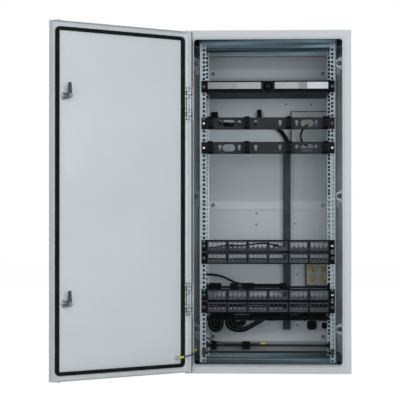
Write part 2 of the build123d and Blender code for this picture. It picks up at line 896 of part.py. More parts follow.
def make_saddles():
    y = relief_y + relief_sheet
    z = saddle_level()
    xs = [x - relief_half_width for span in slack_spans for x in span]
    half = saddle_width / 2
    return [block((x - half, x + half), (y, y + saddle_depth), (z, z + saddle_height)) for x in xs]


def make_clamps():
    """Blocks on the rear lacing bars, round the bar and its cable, and tie pads on the mounting plate."""
    clamps = []
    rows = ((rear_bar_places[0], upper_clamps, bar_cable_points(), bar_cable_diameter),
            (rear_bar_places[1], lower_clamps, earth_lead_points(), earth_lead_diameter))
    for place, places, points, diameter in rows:
        z = bar_level(place)
        y = rear_rail - bar_radius
        cut = rod_x(bar_radius + clamp_fit, -rail_inner, rail_inner, y, z)
        cut += tube(points, diameter + 2 * clamp_fit)
        for along, length in places:
            x = along - rail_inner
            clamps.append(Pos(x, y, z) * Box(length, clamp_depth, clamp_height) - cut)
    return clamps


def make_ties():
    ties = []
    places = [(rail_inner - inset, z, w, h) for inset, z, w, h in low_ties]
    places += [(inset - rail_inner, height - drop, w, h) for inset, drop, w, h in high_ties]
    for x, z, w, h in places:
        outline = Pos(x, z) * RectangleRounded(w, h, h * tie_radius_share)
        ties.append(slab(outline, plate_front - tie_depth, plate_front))
    return ties


def make_trunk():
    x = trunk_width / 2
    y1 = strap_front
    y0 = y1 - trunk_depth
    trunk = block((trunk_x - x, trunk_x + x), (y0, y1), (trunk_bottom, trunk_top))
    x -= trunk_wall
    return trunk - block((trunk_x - x, trunk_x + x), (y0 + trunk_wall, y1 - trunk_wall),
                         (trunk_bottom - overrun, trunk_top + overrun))


def make_rear_box():
    """A moulded box, open against the plate, with a raised lid."""
    w, h = box_right - box_left, box_top - box_bottom
    place = Pos((box_left + box_right) / 2, (box_bottom + box_top) / 2)
    y0 = plate_front - box_depth
    box = slab(place * RectangleRounded(w, h, box_radius), y0 + box_lid, plate_front)
    lid_w, lid_h = w - 2 * box_lid_margin, h - 2 * box_lid_margin
    box += slab(place * RectangleRounded(lid_w, lid_h, box_radius), y0, y0 + box_lid)
    return box - slab(place * Rectangle(lid_w, lid_h), y0 + 2 * box_lid, plate_front + overrun)


def outlet_front():
    return plate_front - outlet_depth


def make_outlet_box():
    place = Pos(outlet_x, outlet_z)
    inner = outlet_size - 2 * outlet_wall
    outside = place * RectangleRounded(outlet_size, outlet_size, outlet_radius)
    inside = place * RectangleRounded(inner, inner, outlet_radius - outlet_wall)
    box = slab(outside, outlet_front(), plate_front)
    return box - slab(inside, outlet_front() - overrun, plate_front - outlet_wall)


def receptacle_faces(fit):
    half_x, half_z = receptacle_pitch_x / 2, receptacle_pitch_z / 2
    corner = receptacle_height * face_corner_share
    face = RectangleRounded(receptacle_width + 2 * fit, receptacle_height + 2 * fit, corner)
    places = [(sx * half_x, sz * half_z) for sx in (-1, 1) for sz in (-1, 1)]
    return Sketch() + [Pos(outlet_x + a, outlet_z + b) * face for a, b in places]


def make_outlet_cover():
    """A raised square cover with tapering sides and four openings."""
    seat = outlet_front()
    raised = outlet_size - 2 * cover_taper
    plane = Plane(origin=(outlet_x, seat, outlet_z), x_dir=(1, 0, 0), z_dir=(0, -1, 0))
    low = plane * RectangleRounded(outlet_size, outlet_size, outlet_radius)
    high = plane.offset(cover_rise) * RectangleRounded(raised, raised, outlet_radius - cover_taper)
    inner = outlet_size - 2 * outlet_wall
    inner_raised = raised - 2 * outlet_wall
    inside_low = plane * RectangleRounded(inner, inner, outlet_radius - outlet_wall)
    corner = outlet_radius - cover_taper - outlet_wall
    top = plane.offset(cover_rise - cover_sheet)
    inside_high = top * RectangleRounded(inner_raised, inner_raised, corner)
    cover = loft([low.face(), high.face()]) - loft([inside_low.face(), inside_high.face()])
    return cover - slab(receptacle_faces(receptacle_fit), seat - cover_rise - overrun, seat)


def make_receptacles():
    """Two duplex receptacles behind the cover, with their faces through its openings."""
    inside = outlet_front() - cover_rise + cover_sheet
    front_face = outlet_front() - cover_rise - receptacle_proud
    receptacles = []
    for side in (-1, 1):
        x = outlet_x + side * receptacle_pitch_x / 2
        outline = Rectangle(receptacle_strap_width, receptacle_strap_height)
        body = slab(Pos(x, outlet_z) * outline, inside, inside + receptacle_depth)
        faces = receptacle_faces(0) & (Pos(x, outlet_z) * Rectangle(receptacle_pitch_x, outlet_size))
        receptacles.append(body + slab(faces, front_face, inside))
    return group(receptacles)


def make_hinge_frame_leaf(z):
    """The leaf on the flange: a foot plate and two cranked arms that carry knuckles."""
    lip_outside = -opening_width / 2 - sheet
    arm_right = hinge_arm_right()
    foot_right = lip_outside - hinge_lip_gap
    half = hinge_length / 2
    foot = (foot_right - hinge_foot_width, foot_right)
    leaf = block(foot, (front - hinge_foot, front), (z - half, z + half))
    low = hinge_y - arm_thickness / 2
    for z0, z1 in hinge_arm_spans(z):
        leaf += block((hinge_x, arm_right), (low, low + arm_thickness), (z0, z1))
        leaf += block((arm_right - arm_thickness, arm_right), (low, front), (z0, z1))
        leaf += rod_z(knuckle_radius, hinge_x, hinge_y, z0, z1)
    return leaf - hinge_bore(z)


def hinge_arm_right():
    return -opening_width / 2 - sheet / 2 - gasket_width / 2 - hinge_lip_gap


def hinge_bore(z):
    half = hinge_length / 2 + overrun
    return rod_z(pin_radius + pin_clearance, hinge_x, hinge_y, z - half, z + half)


def hinge_arm_spans(z):
    reach = hinge_length / 2 - knuckle_length - hinge_gap
    return (z - reach, z - reach + arm_length), (z + reach - arm_length, z + reach)


def hinge_knuckle_spans(z):
    half = hinge_length / 2
    inner = half - knuckle_length - 2 * hinge_gap - arm_length
    spans = []
    for a, b in ((half - knuckle_length, half), (inner - knuckle_length, inner)):
        spans += [(z + a, z + b), (z - b, z - a)]
    return spans


def make_hinge_door_leaf(z):
    """The leaf on the door, drawn with the door shut: a plate on the pan and four knuckles."""
    half = hinge_length / 2
    left = -door_half + door_sheet + hinge_gap
    leaf = block((left, hinge_arm_right()), (door_inside, door_inside + hinge_plate), (z - half, z + half))
    cheeks = (hinge_x - knuckle_radius, hinge_x + knuckle_radius)
    for z0, z1 in hinge_knuckle_spans(z):
        leaf += block(cheeks, (door_inside, hinge_y), (z0, z1))
        leaf += rod_z(knuckle_radius, hinge_x, hinge_y, z0, z1)
    return swing * (leaf - hinge_bore(z))


def make_hinge_pin(z):
    half = hinge_length / 2 + pin_proud
    return swing * rod_z(pin_radius, hinge_x, hinge_y, z - half, z + half)


def make_door():
    """The door pan, drawn shut: a sheet with four returns, notched at the hinges."""
    centre = Pos(0, height / 2)
    edge = front - door_clearance
    door = slab(centre * RectangleRounded(door_width, door_height, door_radius), door_face, edge)
    inner_width, inner_height = door_width - 2 * door_sheet, door_height - 2 * door_sheet
    inner = RectangleRounded(inner_width, inner_height, door_radius - door_sheet)
    door -= slab(centre * inner, door_inside, edge + overrun)
    half = hinge_length / 2 + hinge_notch_margin
    notch = (-door_half - overrun, -door_half + door_sheet)
    for z in hinge_heights:
        door -= block(notch, (door_face + hinge_notch_rim, edge + overrun), (z - half, z + half))
    lock_hole = lock_barrel_diameter / 2 + lock_fit
    for z in lock_heights:
        door -= rod_y(lock_hole, lock_x, door_face - overrun, door_inside + overrun, z)
    middle = (door_inside + edge) / 2
    bottom = height / 2 - door_height / 2
    door -= rod_z(drain_diameter / 2, drain_inset - door_half, middle, bottom - overrun, bottom + overrun)
    return swing * door


def make_plugs():
    """Domed plugs in the top and bottom returns, near the free edge."""
    x = door_half - plug_inset
    y = (door_inside + front - door_clearance) / 2
    plugs = []
    for sign in (-1, 1):
        z = height / 2 + sign * door_height / 2
        plug = rod_z(plug_diameter / 2, x, y, z, z + sign * plug_rise)
        rim = plug.edges().sort_by(Axis.Z)[-1 if sign > 0 else 0]
        plugs.append(swing * fillet(rim, plug_rise * plug_round_share))
    return group(plugs)


def make_gasket():
    """A foamed seal on the pan, facing the lip of the shell."""
    centre = Pos(0, height / 2)
    w, h = opening_width + sheet, opening_height + sheet
    outer = RectangleRounded(w + gasket_width, h + gasket_width, opening_radius + gasket_width / 2)
    inner = RectangleRounded(w - gasket_width, h - gasket_width, opening_radius - gasket_width / 2)
    return swing * slab(centre * (outer - inner), door_inside, door_inside + gasket_thickness)


def make_lock_housing(z):
    barrel_end = door_face + lock_barrel_length
    housing = rod_y(lock_flange_diameter / 2, lock_x, door_face - lock_flange_thickness, door_face, z)
    housing += rod_y(lock_barrel_diameter / 2, lock_x, door_face, barrel_end, z)
    bore = rod_y(core_diameter / 2 + lock_fit, lock_x, door_face - overrun, barrel_end + overrun, z)
    return swing * (housing - bore)


def make_lock_nut(z):
    outline = hexagon(lock_nut_across) - Circle(lock_barrel_diameter / 2 + lock_fit)
    return swing * slab(Pos(lock_x, z) * outline, door_inside, door_inside + lock_nut_height)


def make_lock_core(z):
    """The turning core: a slotted face, a square neck for the cam and a cap behind it."""
    face = door_face - lock_flange_thickness
    cam_back = cam_front + cam_sheet
    core = rod_y(core_diameter / 2, lock_x, face, cam_front, z)
    slot = Pos(lock_x, z) * Rectangle(core_slot_width, core_diameter)
    core -= slab(slot, face - overrun, face + core_slot_depth)
    core += slab(Pos(lock_x, z) * Rectangle(core_neck, core_neck), cam_front, cam_back)
    core += rod_y(core_cap_diameter / 2, lock_x, cam_back, cam_back + core_cap_height, z)
    return swing * core


def make_lock_cam(z):
    root, tip = cam_width / 2, cam_tip_width / 2
    arm = Polygon((-root, 0), (root, 0), (tip, cam_length), (-tip, cam_length), align=None)
    outline = Circle(root) + arm - Rectangle(core_neck, core_neck)
    return swing * slab(Pos(lock_x, z) * outline, cam_front, cam_front + cam_sheet)


def make_door_stud():
    y = door_inside
    stud = rod_y(earth_stud_diameter / 2, door_stud_x, y, y + earth_stud_length, door_stud_z)
    nut = slab(Pos(door_stud_x, door_stud_z) * hexagon(earth_nut_across), y, y + earth_nut_height)
    return swing * (stud + nut)


def make_wall_stud():
    stud = rod_x(earth_stud_diameter / 2, -inner_x, -inner_x + earth_stud_length, wall_stud_y, wall_stud_z)
    plane = Plane(origin=(-inner_x, wall_stud_y, wall_stud_z), x_dir=(0, 1, 0), z_dir=(1, 0, 0))
    return stud + extrude(plane * hexagon(earth_nut_across), amount=earth_nut_height)


nodes = {
    "cabinet_body": make_shell(),
    "gland_plate": make_gland_plate(),
    "gland_screws": make_gland_screws(),
    "mounting_plate": make_mounting_plate(),
    "support_straps": make_straps(),
    "strap_nuts": make_strap_nuts(),
    "front_left_rail": make_rail(-1, front_rail),
    "front_right_rail": make_rail(1, front_rail),
    "rear_left_rail": make_rail(-1, rear_rail),
    "rear_right_rail": make_rail(1, rear_rail),
    "cross_members": group(make_members(front_rail) + make_members(rear_rail)),
    "depth_stays": make_stays(),
    "side_brackets": make_brackets(),
    "bracket_bolts": make_bracket_bolts(),
    "power_unit_chassis": make_power_chassis(),
    "power_unit_trims": make_power_trims(),
    "power_unit_grey_labels": group([make_label(-1, left_label_shares), make_label(1, small_label_shares)]),
    "power_unit_white_label": make_label(1, white_label_shares),
    "power_unit_dome": make_power_dome(),
    "manager_rings": group(ring for place in manager_places for ring in make_rings(place)),
    "patch_faceplates": group(plate for place in patch_places for plate in make_faceplates(place)),
    "rack_screws": make_rack_screws(),
    "cage_nuts": make_cage_nuts(),
    "rear_lacing_bars": make_rear_bars(),
    "front_lacing_bar": make_front_bar(),
    "strain_relief_bar": make_relief_bar(),
    "cable_clamps": group(make_clamps() + make_saddles() + make_ties()),
    "cable_trunk": make_trunk(),
    "rear_box": make_rear_box(),
    "receptacle_box": make_outlet_box(),
    "receptacle_cover": make_outlet_cover(),
    "receptacles": make_receptacles(),
    "riser_cable": tube(riser_points(), riser_diameter),
    "box_lead": tube(box_lead_points(), box_lead_diameter),
    "bar_cable": tube(bar_cable_points(), bar_cable_diameter),
    "slack_cables": make_slack_cables(),
    "earth_lead": tube(earth_lead_points(), earth_lead_diameter),
    "door_earth_lead": tube(door_lead_points(), door_lead_diameter),
    "wall_earth_stud": make_wall_stud(),
    "door_earth_stud": make_door_stud(),
    "door_panel": make_door(),
    "door_gasket": make_gasket(),
    "door_plugs": make_plugs(),
    "lock_housings": group(make_lock_housing(z) for z in lock_heights),
    "lock_nuts": group(make_lock_nut(z) for z in lock_heights),
}
for row, place in zip(("upper", "lower"), manager_places):
    nodes[row + "_cable_manager"] = make_manager(place)
for number, place in enumerate(patch_places, 1):
    nodes[f"patch_panel_{number}"] = make_patch_panel(place)
for row, z in zip(("lower", "upper"), hinge_heights):
    nodes[row + "_hinge_frame_leaf"] = make_hinge_frame_leaf(z)
    nodes[row + "_hinge_door_leaf"] = make_hinge_door_leaf(z)
nodes["hinge_pins"] = group(make_hinge_pin(z) for z in hinge_heights)
for row, z in zip(("lower", "upper"), lock_heights):
    nodes[row + "_lock_core"] = make_lock_core(z)
    nodes[row + "_lock_cam"] = make_lock_cam(z)

os.makedirs("parts", exist_ok=True)
for name, shape in nodes.items():
    export_step(shape, f"parts/{name}.step")
print(len(nodes), "pieces")
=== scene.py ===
import math

import bmesh
import bpy
from mathutils import Matrix, Vector


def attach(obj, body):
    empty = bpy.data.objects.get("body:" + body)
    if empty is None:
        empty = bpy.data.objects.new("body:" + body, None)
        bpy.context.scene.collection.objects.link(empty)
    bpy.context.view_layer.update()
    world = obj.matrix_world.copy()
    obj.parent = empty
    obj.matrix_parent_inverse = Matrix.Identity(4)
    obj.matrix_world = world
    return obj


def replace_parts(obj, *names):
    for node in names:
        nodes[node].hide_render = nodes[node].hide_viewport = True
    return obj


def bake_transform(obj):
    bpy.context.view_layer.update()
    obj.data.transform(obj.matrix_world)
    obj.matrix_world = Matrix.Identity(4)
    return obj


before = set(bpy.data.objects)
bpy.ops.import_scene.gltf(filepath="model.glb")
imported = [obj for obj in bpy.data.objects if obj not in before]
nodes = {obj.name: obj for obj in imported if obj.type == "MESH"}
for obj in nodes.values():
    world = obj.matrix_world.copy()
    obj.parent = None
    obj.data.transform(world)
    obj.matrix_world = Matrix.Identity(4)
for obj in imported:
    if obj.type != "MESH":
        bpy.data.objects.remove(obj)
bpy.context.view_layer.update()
print("frame loaded:", len(nodes), "nodes")


def mm(*values):  # millimetres, as the drawings give them, to metres
    places = tuple(value / 1000 for value in values)
    return places if len(places) > 1 else places[0]


def paint(red, green, blue):  # a screen colour, 0 to 255, as a linear socket value
    shares = [value / 255 for value in (red, green, blue)]
    return tuple(s / 12.92 if s <= 0.04045 else ((s + 0.055) / 1.055) ** 2.4 for s in shares) + (1.0,)


class Wire:  # a socket of a finish; sums of wires add Math nodes
    def __init__(self, finish, socket):
        self.finish = finish
        self.socket = socket

    def sum(self, operation, first, second):
        return self.finish.node("Math", {"operation": operation}, {0: first, 1: second})

    def __add__(self, other):
        return self.sum("ADD", self, other)

    def __sub__(self, other):
        return self.sum("SUBTRACT", self, other)

    def __rsub__(self, other):
        return self.sum("SUBTRACT", other, self)

    def __mul__(self, other):
        return self.sum("MULTIPLY", self, other)

    __radd__ = __add__
    __rmul__ = __mul__


class Finish:  # one material being built
    def __init__(self, name):
        self.material = bpy.data.materials.new(name)
        self.material.use_nodes = True
        self.tree = self.material.node_tree
        self.shader = self.tree.nodes["Principled BSDF"]
        self.place = self.node("TexCoord", output="Object")

    def node(self, kind, settings=None, sockets=None, output=0):
        made = self.tree.nodes.new("ShaderNode" + kind)
        for key, value in (settings or {}).items():
            setattr(made, key, value)
        for key, value in (sockets or {}).items():
            self.feed(made.inputs[key], value)
        return Wire(self, made.outputs[output])

    def feed(self, socket, value):
        if isinstance(value, Wire):
            self.tree.links.new(value.socket, socket)
        else:
            socket.default_value = value

    def surface(self, sockets):
        for key, value in sockets.items():
            self.feed(self.shader.inputs[key], value)
        return self.material

    def noise(self, scale, detail=2.0, stretch=(1, 1, 1)):
        place = self.node("Mapping", {}, {"Vector": self.place, "Scale": stretch})
        return self.node("TexNoise", {}, {"Vector": place, "Scale": scale, "Detail": detail})

    def flakes(self, scale):  # flat cells with a random shade each
        cells = self.node("TexVoronoi", {}, {"Vector": self.place, "Scale": scale}, output="Color")
        return self.node("SeparateColor", {}, {"Color": cells})

    def band(self, value, low, high):  # 0 below low, 1 above high
        return self.node("MapRange", {"interpolation_type": "SMOOTHSTEP"},
                         {"Value": value, "From Min": low, "From Max": high})

    def height(self):
        return self.node("SeparateXYZ", {}, {"Vector": self.place}, output="Z")

    def within(self, box):  # 1 inside the box, 0 outside
        place = self.node("SeparateXYZ", {}, {"Vector": self.place}).socket.node
        share = 1.0
        for axis, (low, high) in zip("XYZ", box):
            along = Wire(self, place.outputs[axis])
            share = share * along.sum("GREATER_THAN", along, low) * along.sum("LESS_THAN", along, high)
        return share

    def zoned(self, colour, zones):  # another colour inside each box, or a share of it
        for box, inner, *share in zones:
            colour = self.tint(self.within(box) * (share[0] if share else 1.0), colour, inner)
        return colour

    def tint(self, share, first, second):
        return self.node("Mix", {"data_type": "RGBA"}, {0: share, 6: first, 7: second}, output=2)

    def relief(self, height, depth, strength):
        return self.node("Bump", {}, {"Height": height, "Distance": depth, "Strength": strength}, output="Normal")


def coatedSheet(name, look):  # powder coat: grained, a little uneven, dusty low down
    finish = Finish(name)
    patches = finish.band(finish.noise(look["patch"], detail=3), 0.3, 0.7)
    streaks = finish.band(finish.noise(look["streakScale"], detail=3, stretch=(1, 1, 0.08)), 0.55, 0.8)
    dust = (1 - finish.band(finish.height(), 0.0, look["dustHeight"])) * finish.noise(look["dustScale"], detail=4)
    colour = finish.tint(patches, look["shade"], look["colour"])
    colour = finish.tint(streaks * look["streak"], colour, look["shade"])
    colour = finish.tint(dust * look["dust"], colour, look["dustColour"])
    colour = finish.zoned(colour, look.get("zones", []))
    grain = finish.noise(look["grain"])
    rough = look["rough"] + 0.1 * (patches - 0.5) + 0.12 * (grain - 0.5)
    return finish.surface({"Base Color": colour, "Roughness": rough, "Specular IOR Level": look["gloss"],
                           "Normal": finish.relief(grain, look["peel"], 0.35)})


def platedSheet(name, look):  # zinc plate: drawn grain along the bar, cloudy tint
    finish = Finish(name)
    cloud = finish.band(finish.noise(look["cloud"], detail=3), 0.3, 0.7)
    drawn = finish.noise(look["grain"], stretch=look["along"])
    colour = finish.tint(cloud, look["shade"], look["colour"])
    colour = finish.tint(finish.band(drawn, 0.35, 0.75) * look["drawn"], colour, look["bright"])
    colour = finish.zoned(colour, look.get("zones", []))
    rough = look["rough"] + 0.18 * (drawn - 0.5) + 0.1 * (cloud - 0.5)
    return finish.surface({"Base Color": colour, "Roughness": rough, "Metallic": look["metal"],
                           "Normal": finish.relief(drawn, mm(0.05), 0.2)})


def spangledSheet(name, look):  # hot-dip galvanised sheet with its crystal flakes
    finish = Finish(name)
    flakes = finish.flakes(look["flake"])
    fine = finish.noise(look["fine"])
    colour = finish.tint(flakes, look["shade"], look["colour"])
    rough = look["rough"] + 0.2 * (flakes - 0.5) + 0.1 * (fine - 0.5)
    return finish.surface({"Base Color": colour, "Roughness": rough, "Metallic": look["metal"],
                           "Normal": finish.relief(fine, mm(0.05), 0.15)})


def moulding(name, look):  # moulded plastic or rubber: fine erosion texture, handled shine
    finish = Finish(name)
    fine = finish.noise(look["grain"], detail=3)
    handled = finish.band(finish.noise(look["patch"], detail=3), 0.35, 0.7)
    colour = finish.tint(handled, look["shade"], look["colour"])
    colour = finish.zoned(colour, look.get("zones", []))
    rough = look["rough"] + 0.14 * (fine - 0.5) - 0.08 * handled
    return finish.surface({"Base Color": colour, "Roughness": rough, "Specular IOR Level": look["gloss"],
                           "Normal": finish.relief(fine, look["peel"], 0.3)})


def stripedJacket(name, look):  # earth wire: green with a yellow stripe
    finish = Finish(name)
    turned = finish.node("Mapping", {}, {"Vector": finish.place, "Rotation": look["turn"]})
    wave = finish.node("TexWave", {}, {"Vector": turned, "Scale": look["stripe"], "Distortion": 0.4}, output="Fac")
    fine = finish.noise(look["fine"])
    colour = finish.tint(finish.band(wave, 0.35, 0.5), look["green"], look["yellow"])
    return finish.surface({"Base Color": colour, "Roughness": look["rough"] + 0.12 * (fine - 0.5),
                           "Normal": finish.relief(fine, mm(0.04), 0.25)})


def rackScrew(name, look):  # black heads, with a painted highlight in the middle of some
    finish = Finish(name)
    bright = sum(finish.within(box) for box in look["paintedGlints"])
    fine = finish.noise(look["fine"])
    colour = finish.tint(bright, look["dark"], look["colour"])
    return finish.surface({"Base Color": colour, "Roughness": look["rough"] + 0.16 * (fine - 0.5),
                           "Metallic": 0.3 + 0.4 * bright, "Normal": finish.relief(fine, mm(0.04), 0.2)})


# Ranges and colours that several zones share, and places that zones share with small pieces
across = mm(-300, 300)
upright = mm(0, 1220)
insideWide, insideDeep, insideHigh = mm(-294.2, 294.2), mm(-248.4, 249), mm(0.8, 1219.2)
plateDeep = mm(200, 260)
lipWide, lipDeep, lipHigh = mm(-273, 268), mm(-252, -249.5), mm(25, 1195)
panelDeep = mm(-140, -120)
managerDeep = mm(-140, -100)
hingeDeep, hingeHigh = mm(-330, -200), mm(190, 1040)
nearBlack = paint(8, 9, 10)
# the colour of the painted shadow lines round the front flange
flangeShadowPaint = paint(177, 183, 187)
earColumn = 232.55
platePitch = 73.8
panelLevels = [451.275, 406.825, 273.475, 229.025]

shellPaint = {"colour": paint(192, 197, 200), "shade": paint(187, 193, 196), "patch": 4, "streak": 0.1,
              "streakScale": 9, "dust": 0.2, "dustColour": paint(150, 150, 146), "dustHeight": 0.1, "dustScale": 40,
              "grain": 1300, "peel": mm(0.12), "rough": 0.48, "gloss": 0.4}
# the door is a lighter copy of the shell paint: painted light, making up for the light the open door lacks
doorPaint = dict(shellPaint, colour=paint(206, 211, 214), shade=paint(202, 207, 210))
platePaint = dict(shellPaint, colour=paint(168, 178, 183), shade=paint(160, 171, 176), patch=3, rough=0.52)
strapPaint = dict(platePaint, colour=paint(190, 199, 205), shade=paint(183, 192, 198))
# painted light on the lower half of the plate, painted shade at its foot, and painted light where the power unit
# casts its shadow
platePaint.update(zones=[([across, plateDeep, mm(0, 601)], paint(180, 189, 195)),
                         ([across, plateDeep, mm(0, 77)], paint(140, 147, 151)),
                         ([across, plateDeep, mm(835, 1012)], paint(188, 198, 204))])
shellPaint.update(zones=[([insideWide, insideDeep, insideHigh], paint(128, 137, 142)),  # inner walls: painted shade, darker than the outside
                         # painted shade on the left inner wall, painted light on the right one
                         ([mm(-294.2, -285), insideDeep, insideHigh], paint(95, 106, 112)),
                         ([mm(250, 294.2), insideDeep, insideHigh], paint(196, 204, 208)),
                         ([mm(268, 273), lipDeep, lipHigh], flangeShadowPaint),  # painted shadow lines round the front flange, here and below
                         # a painted shadow strip on the flange beside the hinge side of the lip
                         ([mm(-270.2, -266.5), lipDeep, lipHigh], paint(140, 144, 147)),
                         ([lipWide, lipDeep, mm(1190, 1195)], flangeShadowPaint),
                         ([lipWide, lipDeep, mm(25, 30)], flangeShadowPaint)])
doorPaint.update(zones=[([mm(-286.8, -272.5), mm(-292, -263.5), upright], paint(226, 231, 234)),  # return: painted highlight
                        ([mm(-271.5, -262), mm(-281, -270), upright], paint(104, 108, 112))])  # free edge: painted shadow
blackPaint = {"colour": paint(36, 41, 45), "shade": paint(30, 35, 39), "patch": 14, "streak": 0.1,
              "streakScale": 9, "dust": 0.0, "dustColour": paint(120, 120, 118), "dustHeight": 0.1, "dustScale": 40,
              "grain": 1600, "peel": mm(0.1), "rough": 0.5, "gloss": 0.1}
panelPaint = dict(blackPaint, colour=paint(11, 12, 13), shade=nearBlack, gloss=0.03,
                  zones=[([mm(229.8, 235.3), mm(-132, -130), mm(z - 2, z + 2)], paint(190, 202, 206))
                         for z in (434.6, 424.2, 257.2, 246.8)])  # bare zinc at the ears' notches
unitPaint = dict(blackPaint, gloss=0.03,
                 zones=[([across, mm(-140, -130.9), mm(1000, 1060)], nearBlack),  # front face: painted shade
                        ([across, mm(-129.5, 180), mm(1000, 1009.5)], paint(62, 71, 75))])  # underside: painted light
managerPaint = dict(blackPaint, zones=[([across, managerDeep, mm(z - 1.8, z + 1.8)], paint(9, 10, 11))
                                       for z in (875.2, 916.4, 786.3, 827.5)]  # painted shade along the top and bottom edges
                    # painted shade on the ears
                    + [([mm(*ear), managerDeep, mm(780, 920)], paint(10, 12, 13))
                       for ear in ((-242, -222), (222, 242))])
railZinc = {"colour": paint(144, 158, 166), "shade": paint(122, 137, 147), "bright": paint(172, 184, 190),
            "cloud": 9, "grain": 420, "along": (1, 1, 0.06), "drawn": 0.3, "rough": 0.46, "metal": 0.35}
# the rear rails: a lighter copy of the rail zinc, painted light
rearZinc = dict(railZinc, colour=paint(204, 216, 222), shade=paint(186, 199, 207), bright=paint(222, 230, 234))
frameZinc = dict(railZinc, colour=paint(52, 80, 92), shade=paint(20, 38, 50), bright=paint(140, 174, 184),
                 cloud=6, grain=70, along=(0.03, 0.6, 1), drawn=1.0,
                 # painted shade on the bottom members, and a painted highlight along the lower edge of the rear top
                 # members
                 zones=[([across, mm(-140, 200), mm(0, 60)], paint(12, 22, 28), 0.6),
                        ([across, mm(160, 200), mm(1170, 1174.6)], paint(150, 158, 156), 0.85)])
bracketZinc = dict(railZinc, colour=paint(172, 188, 188), shade=paint(154, 170, 172), along=(1, 1, 1),
                   zones=[([mm(0, 300), mm(-113, -104), upright], paint(104, 120, 122)),  # painted shade on the tabs on the right
                          ([mm(-300, 0), mm(-250, 250), upright], paint(72, 84, 90))])  # painted shade on the brackets on the left
boltZinc = dict(railZinc, colour=paint(196, 200, 200), shade=paint(170, 176, 178), bright=paint(220, 222, 222),
                along=(1, 1, 1), rough=0.34, metal=0.8)
railZinc.update(zones=[([mm(243.6, 248), mm(-130, -80), upright], paint(50, 66, 74))])  # painted shade on the right rail's outer edge
darkSteel = dict(boltZinc, colour=paint(30, 34, 38), shade=paint(22, 25, 28), bright=paint(52, 57, 61), metal=0.2)
camSteel = dict(boltZinc, colour=paint(74, 80, 94), shade=paint(56, 62, 76), bright=paint(96, 102, 108), rough=0.4,
                metal=0.5)
trimMetal = dict(boltZinc, colour=paint(118, 123, 123), shade=paint(109, 115, 116), bright=paint(134, 138, 138),
                 along=(0.05, 1, 1), rough=0.4, metal=0.3)
hingeZinc = dict(boltZinc, colour=paint(150, 156, 160), shade=paint(128, 135, 140), bright=paint(180, 185, 188),
                 rough=0.36, metal=0.5)
# painted shade in the strips at x -273.4 to -266.2 and a painted highlight at x -296 to -290.2
hingeZinc.update(zones=[([mm(-273.4, -269.8), hingeDeep, hingeHigh], paint(46, 50, 54)),
                        ([mm(-269.8, -266.2), hingeDeep, hingeHigh], paint(98, 103, 107)),
                        ([mm(-296, -290.2), hingeDeep, hingeHigh], paint(215, 220, 223))]
                 + [([mm(-330, -240), hingeDeep, mm(z + offset - 0.9, z + offset + 0.9)], paint(40, 44, 48))
                    for z in (265, 958)  # seams between the knuckles
                    for offset in (-56.5, -42.9, -32.6, -18.4, 18.4, 32.6, 42.9, 56.5)])
lockChrome = dict(boltZinc, colour=paint(142, 150, 156), shade=paint(112, 120, 128), rough=0.26, metal=0.9)
galvanised = {"colour": paint(186, 194, 197), "shade": paint(168, 177, 181), "flake": 90, "fine": 700, "rough": 0.44,
              "metal": 0.6}
coverSheet = dict(galvanised, colour=paint(116, 122, 117), shade=paint(98, 105, 102), metal=0.2)
blackNylon = {"colour": paint(26, 28, 30), "shade": paint(18, 20, 22), "patch": 20, "grain": 1500,
              "peel": mm(0.08), "rough": 0.52, "gloss": 0.15}
ringNylon = dict(blackNylon, colour=paint(12, 13, 14), shade=nearBlack, gloss=0.05)
clampNylon = dict(ringNylon, zones=[([mm(-55, -10), mm(200, 240), mm(900, 980)], paint(150, 160, 165))])  # tie pad
faceNylon = dict(blackNylon, colour=paint(68, 72, 79), shade=paint(60, 64, 71), gloss=0.05,
                 zones=[([mm(platePitch * step - 3.3, platePitch * step + 3.3), panelDeep, mm(200, 480)], nearBlack)
                        for step in range(-3, 4)]  # dark joints between the plates, and between the rows
                 + [([across, panelDeep, mm(z + edge - 1, z + edge + 1)], nearBlack)
                    for z in panelLevels for edge in (-17.9, 17.9)])
glossBlack = dict(blackNylon, colour=paint(14, 15, 16), shade=paint(10, 11, 12), rough=0.4, gloss=0.06)
trunkPlastic = dict(blackNylon, colour=paint(50, 60, 66), shade=paint(42, 51, 57), rough=0.55)
boxPlastic = dict(blackNylon, colour=paint(164, 172, 176), shade=paint(155, 163, 167), rough=0.5)
ivoryPlastic = dict(blackNylon, colour=paint(158, 150, 104), shade=paint(142, 134, 92), rough=0.4, gloss=0.3)
greyPlate = dict(blackNylon, colour=paint(142, 147, 152), shade=paint(132, 138, 143), rough=0.42, peel=mm(0.03))
whitePlate = dict(greyPlate, colour=paint(206, 211, 218), shade=paint(197, 202, 209))
cableJacket = dict(blackNylon, colour=paint(17, 18, 19), shade=paint(12, 13, 14), rough=0.5, grain=900, gloss=0.08)
sealFoam = dict(blackNylon, colour=paint(22, 25, 25), shade=paint(15, 18, 18), rough=0.9, grain=900,
                peel=mm(0.3), gloss=0.12)
plugRubber = dict(blackNylon, colour=paint(72, 75, 78), shade=paint(60, 63, 66), rough=0.7)
earthWire = {"green": paint(18, 28, 21), "yellow": paint(48, 53, 25), "stripe": 45, "turn": (0.3, 0.5, 0.6),
             "fine": 1500, "rough": 0.42}
sleeveYellow = dict(blackNylon, colour=paint(222, 212, 40), shade=paint(188, 190, 36), patch=160, rough=0.45)
bondGreen = dict(blackNylon, colour=paint(28, 116, 78), shade=paint(20, 96, 64), rough=0.4, gloss=0.4)
screwLook = {"colour": paint(205, 209, 209), "dark": paint(26, 28, 31), "fine": 900, "rough": 0.42,
             # bright spots on some heads: painted highlights
             "paintedGlints": [(mm(x - wide, x + wide), across, mm(z - high, z + high))
                      for x, z, wide, high in [(-earColumn, 895.8, 2.7, 2.7), (-earColumn, 806.9, 2.7, 2.7),
                                               (earColumn, 806.9, 2.4, 2.4), (earColumn, 451.3, 4, 1.4),
                                               (earColumn, 273.5, 4, 1.4)]]}

